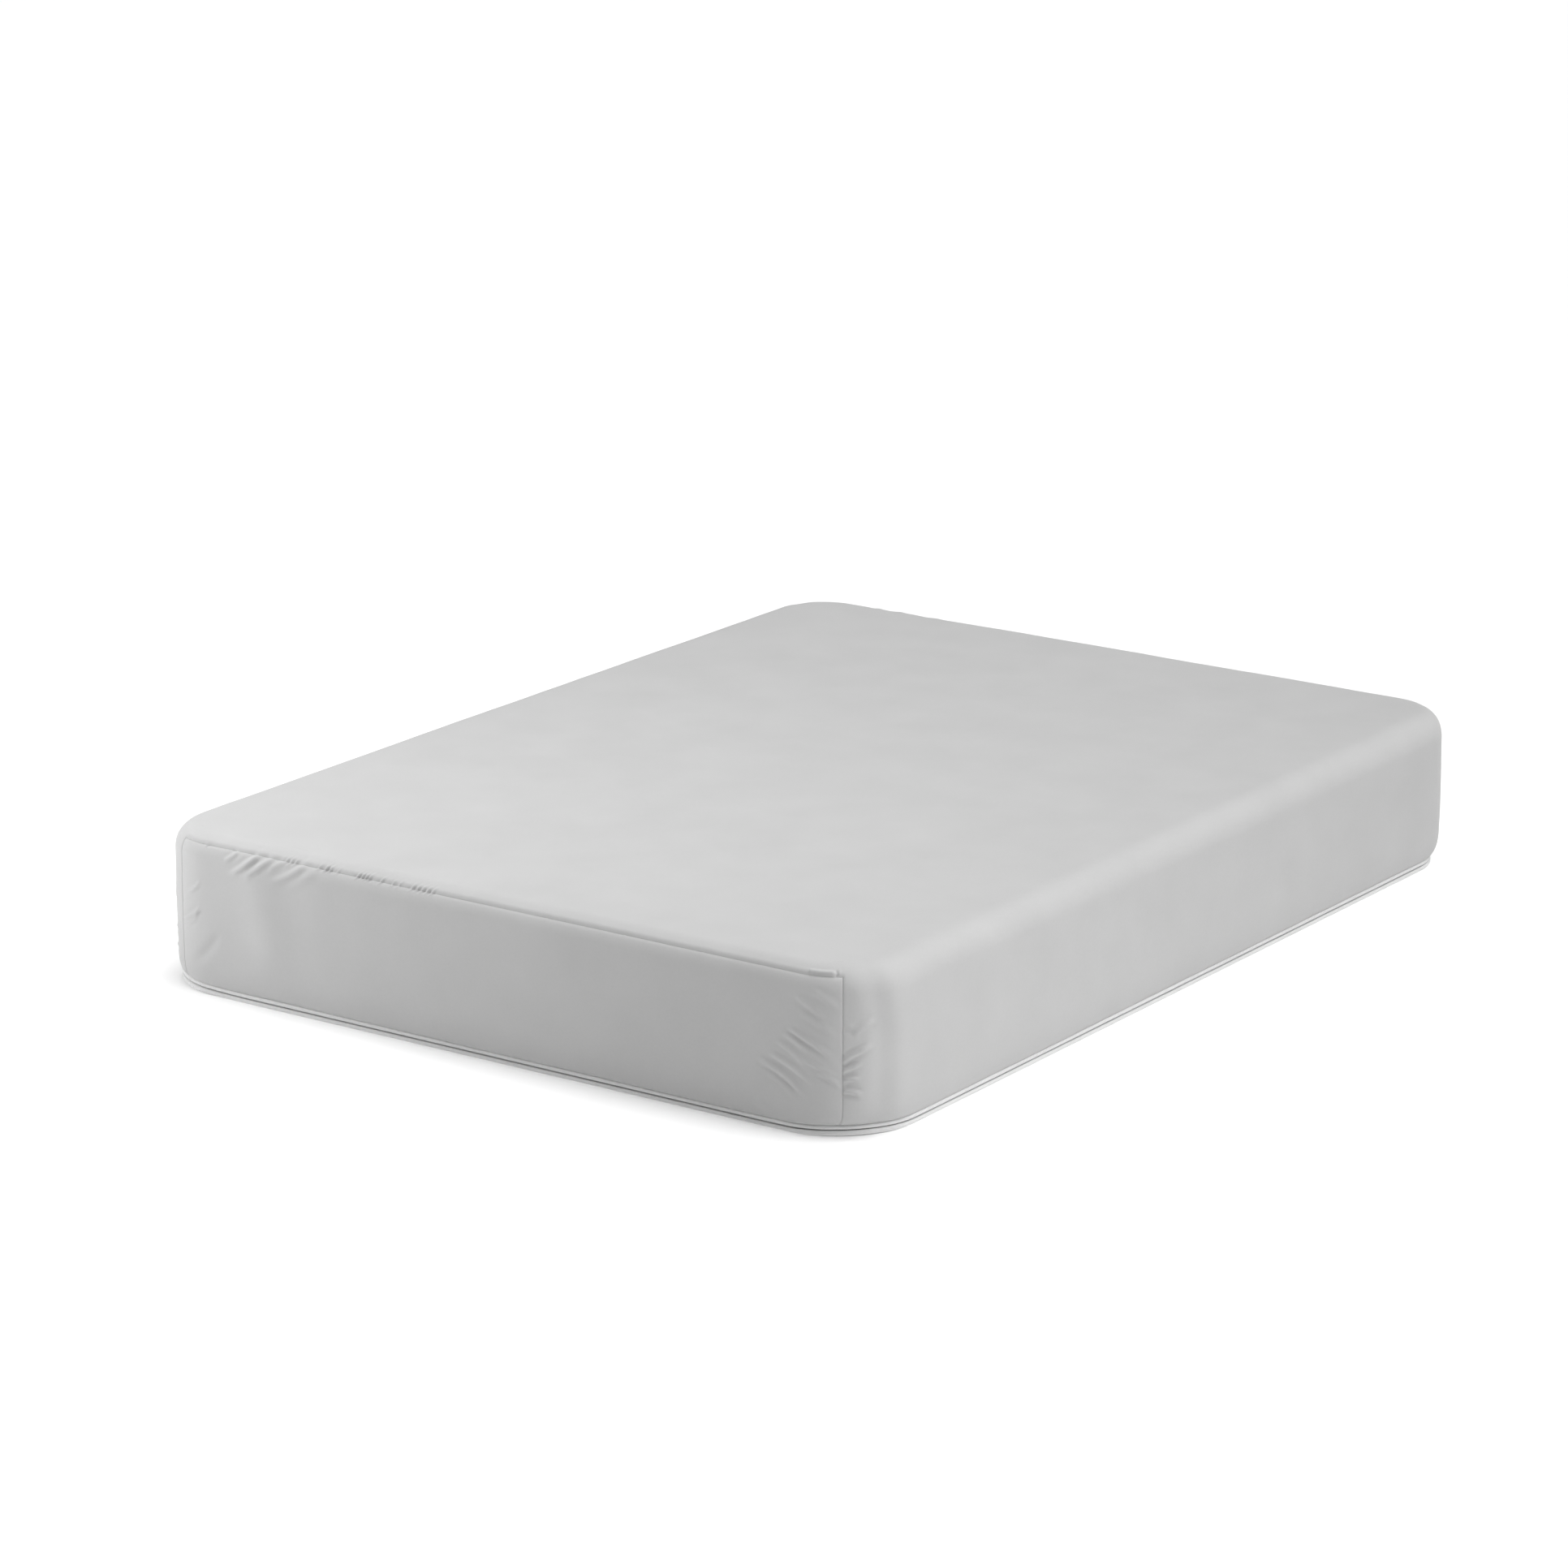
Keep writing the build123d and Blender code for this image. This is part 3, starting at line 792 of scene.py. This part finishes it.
# ---- Materials -----------------------------------------------------------------------------
class Finish:
    """A material being put together from procedural nodes."""

    def __init__(self, name, roughness, **values):
        self.made = bpy.data.materials.new(name)
        self.made.use_nodes = True
        self.tree = self.made.node_tree
        self.shader = self.tree.nodes["Principled BSDF"]
        self.shader.inputs["Roughness"].default_value = roughness
        for socket, value in values.items():
            self.shader.inputs[socket.replace("_", " ")].default_value = value

    def node(self, kind, settings=None, **inputs):
        made = self.tree.nodes.new(kind)
        for name, value in (settings or {}).items():
            setattr(made, name, value)
        for name, value in inputs.items():
            self.feed(made.inputs[name.replace("_", " ")], value)
        return made

    def feed(self, socket, value):
        if isinstance(value, bpy.types.NodeSocket):
            self.tree.links.new(value, socket)
        else:
            socket.default_value = value

    def math(self, operation, a, b=0.0, c=0.0):
        made = self.node("ShaderNodeMath", {"operation": operation})
        for socket, value in zip(made.inputs, (a, b, c)):
            self.feed(socket, value)
        return made.outputs[0]

    def noise(self, size, detail=2.0):
        """Noise from 0 to 1 with features about `size` metres across, fixed to the object."""
        place = self.node("ShaderNodeTexCoord").outputs["Object"]
        return self.node("ShaderNodeTexNoise", Vector=place, Scale=1 / size, Detail=detail).outputs[0]

    def cloth_place(self):
        """Length across and along the cloth, in metres."""
        place = self.node("ShaderNodeUVMap", {"uv_map": "cloth"}).outputs[0]
        split = self.node("ShaderNodeSeparateXYZ", Vector=place)
        return split.outputs[0], split.outputs[1]

    def color(self, dark, light, factor):
        ramp = self.node("ShaderNodeMapRange", Value=factor, From_Min=0.3, From_Max=0.7)
        blend = self.node("ShaderNodeMix", {"data_type": "RGBA"})
        self.feed(blend.inputs[0], ramp.outputs[0])
        self.feed(blend.inputs[6], (*dark, 1))
        self.feed(blend.inputs[7], (*light, 1))
        self.feed(self.shader.inputs["Base Color"], blend.outputs[2])

    def bumps(self, *layers):
        """Bump layers, each a (height, distance in metres, strength)."""
        normal = None
        for height, distance, strength in layers:
            bump = self.node("ShaderNodeBump", Height=height, Distance=distance, Strength=strength)
            if normal:
                self.feed(bump.inputs["Normal"], normal)
            normal = bump.outputs[0]
        self.feed(self.shader.inputs["Normal"], normal)

    def knit(self, wale, course):
        """Height of a plain knit: columns of V-shaped loops."""
        u, v = self.cloth_place()
        column = self.math("PINGPONG", self.math("DIVIDE", u, wale), 0.5)
        lean = self.math("MULTIPLY_ADD", column, 1.1, self.math("DIVIDE", v, course))
        rib = self.math("SINE", self.math("MULTIPLY", lean, 2 * math.pi))
        groove = self.math("SMOOTH_MIN", self.math("MULTIPLY", column, 6.0), 1.0, 0.4)
        return self.math("MULTIPLY", groove, self.math("MULTIPLY_ADD", rib, 0.3, 0.7))

    def weave(self, pitch):
        u, v = self.cloth_place()
        warp = self.math("SINE", self.math("MULTIPLY", u, 2 * math.pi / pitch))
        weft = self.math("SINE", self.math("MULTIPLY", v, 2 * math.pi / pitch))
        return self.math("MULTIPLY", warp, weft)

    def mixed(self, a, share_a, b, share_b):
        """Weighted sum of two values."""
        return self.math("MULTIPLY_ADD", a, share_a, self.math("MULTIPLY", b, share_b))


def grey(level):
    """Neutral colour."""
    return (level, level, level)


def knit_finish(name, level, wale, strength):
    """Smooth stretch knit: fine loops, a soft nap and a faint unevenness of shade."""
    finish = Finish(name, 0.86, Sheen_Weight=0.12, Sheen_Roughness=0.45, Specular_IOR_Level=0.25)
    shade = finish.mixed(finish.noise(0.004, 4), 0.4, finish.noise(0.11), 0.6)
    finish.color(grey(level * 0.965), grey(level * 1.025), shade)
    finish.bumps((finish.noise(0.0011, 3), 0.0002, 0.35), (finish.knit(wale, wale * 0.8), 0.00025, strength))
    return finish.made


def sock_finish():
    finish = Finish("sock_knit", 0.9, Sheen_Weight=0.2, Specular_IOR_Level=0.2)
    finish.color((0.70, 0.71, 0.72), (0.80, 0.80, 0.80), finish.noise(0.02, 4))
    finish.bumps((finish.noise(0.05), 0.002, 0.3), (finish.knit(0.0032, 0.0026), 0.0006, 0.9))
    return finish.made


def wadding_finish():
    finish = Finish("cover_wadding", 0.95, Sheen_Weight=0.3, Specular_IOR_Level=0.15)
    finish.color(grey(0.66), grey(0.78), finish.noise(0.012, 6))
    finish.bumps((finish.noise(0.03, 3), 0.003, 0.4), (finish.noise(0.0025, 6), 0.0008, 0.8))
    return finish.made


def bottom_finish():
    """Brushed cloth with rows of small grip dots."""
    finish = Finish("bottom_cloth", 0.88, Specular_IOR_Level=0.25)
    place = finish.node("ShaderNodeUVMap", {"uv_map": "cloth"}).outputs[0]
    dots = finish.node(
        "ShaderNodeTexVoronoi", {"voronoi_dimensions": "2D"}, Vector=place, Scale=1 / 0.012, Randomness=0.0
    )
    dot = finish.node(
        "ShaderNodeMapRange",
        {"interpolation_type": "SMOOTHSTEP"},
        Value=dots.outputs[0],
        From_Min=0.24,
        From_Max=0.17,
    ).outputs[0]
    finish.color(grey(0.33), grey(0.45), finish.mixed(dot, 0.5, finish.noise(0.01, 5), 0.6))
    finish.bumps((finish.weave(0.0016), 0.0002, 0.6), (dot, 0.0007, 0.9))
    return finish.made


def binding_finish():
    """Twill binding with a row of stitches near each edge."""
    finish = Finish("seam_binding", 0.85, Sheen_Weight=0.1, Specular_IOR_Level=0.25)
    u, v = finish.cloth_place()
    row = finish.math("ABSOLUTE", finish.math("SUBTRACT", finish.math("ABSOLUTE", v), 0.0042))
    near = finish.math("LESS_THAN", row, 0.0004)
    dash = finish.math("LESS_THAN", finish.math("PINGPONG", finish.math("DIVIDE", u, 0.0032), 0.5), 0.36)
    stitch = finish.math("MULTIPLY", near, dash)
    finish.color(grey(0.52), grey(0.80), finish.mixed(stitch, 0.4, finish.noise(0.006, 3), 0.8))
    finish.bumps((finish.weave(0.0011), 0.0002, 0.7), (stitch, 0.0005, 1.0))
    return finish.made


def tape_finish():
    finish = Finish("zip_tape", 0.8, Sheen_Weight=0.1, Specular_IOR_Level=0.3)
    finish.color(grey(0.78), grey(0.88), finish.noise(0.008, 3))
    finish.bumps((finish.weave(0.0008), 0.00015, 0.8))
    return finish.made


def coil_finish():
    finish = Finish("zip_coil", 0.38, Specular_IOR_Level=0.5)
    finish.color(grey(0.62), grey(0.72), finish.noise(0.02, 2))
    finish.bumps((finish.noise(0.0008, 2), 0.00005, 0.4))
    return finish.made


def metal_finish():
    """Nickel-plated die casting, slightly worn."""
    finish = Finish("zip_metal", 0.3, Metallic=1.0)
    finish.color((0.56, 0.56, 0.55), (0.72, 0.71, 0.70), finish.noise(0.003, 4))
    rough = finish.node("ShaderNodeMapRange", Value=finish.noise(0.0012, 5), To_Min=0.22, To_Max=0.45)
    finish.feed(finish.shader.inputs["Roughness"], rough.outputs[0])
    finish.bumps((finish.noise(0.0009, 3), 0.00004, 0.5))
    return finish.made


def foam_finish(name, dark, light, cell):
    """Open-cell foam: shallow pits over a slightly uneven skin."""
    finish = Finish(name, 0.92, Specular_IOR_Level=0.2, Subsurface_Weight=0.1, Subsurface_Scale=0.004)
    place = finish.node("ShaderNodeTexCoord").outputs["Object"]
    pits = finish.node("ShaderNodeTexVoronoi", Vector=place, Scale=1 / cell).outputs[0]
    finish.color(dark, light, finish.mixed(pits, 0.5, finish.noise(0.05, 4), 0.5))
    finish.bumps((finish.noise(0.02, 4), 0.001, 0.4), (pits, cell * 0.5, 0.8))
    return finish.made


# ---- Pieces --------------------------------------------------------------------------------
def lift_corners(mesh):
    """The mattress stands a little off the floor at its two foot corners."""
    points = np.empty(3 * len(mesh.vertices), np.float32)
    mesh.vertices.foreach_get("co", points)
    points = points.reshape(-1, 3)
    low = smooth((EASE_TOP - points[:, 2]) / (EASE_TOP - HEM_TOP))
    for side, height in ((-1, LEFT_HEM_LIFT), (1, RIGHT_HEM_LIFT)):
        corner = np.array([side * (HALF_W - 0.3 * CORNER_R), -(HALF_L - 0.3 * CORNER_R)])
        distance = np.linalg.norm(points[:, :2] - corner, axis=1)
        points[:, 2] += low * height * np.exp(-((distance / LIFT_REACH) ** 2))
    mesh.vertices.foreach_set("co", points.ravel())
    mesh.update()


def place(piece, material, body, slot, *nodes):
    """Gives a piece its material, the body that it rides on and the CAD nodes that it stands for."""
    lift_corners(piece.data)
    piece.data.materials.append(material)
    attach(piece, body)
    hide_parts(*nodes)


cover_knit = knit_finish("cover_knit", 0.46, 0.0014, 0.4)
panel_knit = knit_finish("end_panel_knit", 0.46, 0.0014, 0.4)
# The hem knit is lighter than the cover knit (0.67 against 0.46): painted light, to lift the shade that falls
# on the hem rolls down by the floor.
hem_knit = knit_finish("hem_knit", 0.67, 0.0012, 0.5)
coil = coil_finish()
tape = tape_finish()
binding = binding_finish()
metal = metal_finish()

cover = make_top_cover()
turn_in(cover, TURN_IN)
place(cover, cover_knit, "cover", "cover_knit", "top_cover")

lining = make_lining()
place(lining, wadding_finish(), "cover", "cover_knit", "top_cover")

for end, middle in (("foot", 0.0), ("head", PERIMETER / 2)):
    panel = make_end_panel(end + "_panel_cloth", middle)
    turn_in(panel, TURN_IN)
    place(panel, panel_knit, "cover", "end_panel_knit", end + "_panel")
    strip = make_binding(end + "_seam_binding", middle)
    place(strip, binding, "cover", "seam_binding", end + "_seam_tape")

for level, body, seed in (("upper", "cover", 31), ("lower", "core", 33)):
    roll = make_hem_roll(level + "_hem_roll", level + "_zip_flap", seed)
    place(roll, hem_knit, body, "hem_knit", level + "_zip_flap")
    band = make_tape(level + "_tape", level + "_zip_tape")
    place(band, tape, body, "zip_tape", level + "_zip_tape")

coil_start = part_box("upper_zip_stop")[0].x
for level, body, end_node in (("upper", "cover", "upper_zip_pin"), ("lower", "core", "lower_zip_stops")):
    teeth = make_coil(level + "_coil", level + "_zip_coil", coil_start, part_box(end_node)[1].x)
    place(teeth, coil, body, "zip_coil", level + "_zip_coil")

sock = make_sock()
place(sock, sock_finish(), "core", "sock_knit", "fire_sock")
foams = {
    "memory_foam": ((0.80, 0.80, 0.76), (0.88, 0.88, 0.84), 0.0011, FOAM_INSET - CORE_INSET),
    "transition_foam": ((0.58, 0.68, 0.74), (0.68, 0.77, 0.82), 0.0014, 0.0),
    "base_foam": ((0.62, 0.62, 0.60), (0.72, 0.72, 0.70), 0.0018, 0.0),
}
for node, (dark, light, cell, skin) in foams.items():
    layer = make_foam(node, CORE_ROLL - skin if skin else 2 * MM)
    place(layer, foam_finish(node, dark, light, cell), "core", node, node)

panel = make_bottom_panel()
place(panel, bottom_finish(), "core", "bottom_cloth", "bottom_panel")

for node in ("lower_zip_stops", "upper_zip_pin", "upper_zip_stop", "zip_slider", "pull_tab"):
    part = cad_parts[node]
    part.data.materials.clear()
    part.data.materials.append(metal)
    edge = part.modifiers.new("softened edges", "BEVEL")
    edge.width = 0.18 * MM
    edge.segments = 3
    edge.limit_method = "ANGLE"
    edge.harden_normals = True


# ---- Studio --------------------------------------------------------------------------------
def make_floor():
    """White floor, which can be looked through from below."""
    mesh = bpy.data.meshes.new("floor")
    far = 60.0
    mesh.from_pydata([(-far, -far, 0), (far, -far, 0), (far, far, 0), (-far, far, 0)], [], [(0, 1, 2, 3)])
    floor = bpy.data.objects.new("floor", mesh)
    bpy.context.scene.collection.objects.link(floor)
    finish = Finish("floor", 0.9, Specular_IOR_Level=0.1)
    finish.shader.inputs["Base Color"].default_value = (0.95, 0.95, 0.95, 1)
    from_below = finish.node("ShaderNodeNewGeometry").outputs["Backfacing"]
    shadow = finish.node("ShaderNodeLightPath").outputs["Is Shadow Ray"]
    clear = finish.node("ShaderNodeBsdfTransparent").outputs[0]
    mix = finish.node("ShaderNodeMixShader")
    finish.feed(mix.inputs[0], finish.math("MAXIMUM", from_below, shadow))
    finish.feed(mix.inputs[1], finish.shader.outputs[0])
    finish.feed(mix.inputs[2], clear)
    finish.feed(finish.tree.nodes["Material Output"].inputs["Surface"], mix.outputs[0])
    mesh.materials.append(finish.made)


def make_world():
    """Pale backdrop, which gives only a little of the light."""
    world = bpy.data.worlds.new("studio")
    world.use_nodes = True
    tree = world.node_tree
    seen = tree.nodes.new("ShaderNodeLightPath").outputs["Is Camera Ray"]
    strength = tree.nodes.new("ShaderNodeMapRange")
    strength.inputs["To Min"].default_value = 0.10
    strength.inputs["To Max"].default_value = 1.0
    tree.links.new(seen, strength.inputs["Value"])
    tree.links.new(strength.outputs[0], tree.nodes["Background"].inputs["Strength"])
    tree.nodes["Background"].inputs["Color"].default_value = (1, 1, 1, 1)
    bpy.context.scene.world = world


def add_sun(name, towards, strength, spread_degrees):
    light = bpy.data.lights.new(name, "SUN")
    light.energy = strength
    light.angle = math.radians(spread_degrees)
    lamp = bpy.data.objects.new(name, light)
    lamp.rotation_euler = Vector(towards).to_track_quat("Z", "Y").to_euler()
    bpy.context.scene.collection.objects.link(lamp)


def add_softbox(name, location, aim, size, power):
    light = bpy.data.lights.new(name, "AREA")
    light.energy = power
    light.shape = "SQUARE"
    light.size = size
    lamp = bpy.data.objects.new(name, light)
    lamp.location = location
    lamp.rotation_euler = (Vector(aim) - Vector(location)).to_track_quat("-Z", "Y").to_euler()
    bpy.context.scene.collection.objects.link(lamp)


def add_camera():
    """Camera at the photo's viewing angle."""
    lens = bpy.data.cameras.new("camera")
    lens.lens = 126.8
    camera = bpy.data.objects.new("camera", lens)
    camera.location = (5.476, -7.978, 3.054)
    camera.rotation_euler = Vector((-0.55048, 0.78708, -0.27834)).to_track_quat("-Z", "Y").to_euler()
    bpy.context.scene.collection.objects.link(camera)
    bpy.context.scene.camera = camera


make_floor()
add_sun("key", (0.37, 0.20, 0.90), 3.42, 70)
add_softbox("left box", (-2.0, -1.9, 0.9), (-0.5, -1.0, 0.15), 0.35, 23)
add_softbox("top box", (-0.3, -0.9, 2.3), (-0.1, -0.6, 0.29), 1.2, 12)
add_softbox("right box", (2.7, -0.95, 0.9), (0.76, -0.7, 0.15), 0.8, 7)
add_softbox("under box", (0.0, 0.0, -2.2), (0.0, 0.0, 0.0), 0.8, 60)
make_world()
bpy.context.scene.view_settings.view_transform = "Standard"
add_camera()
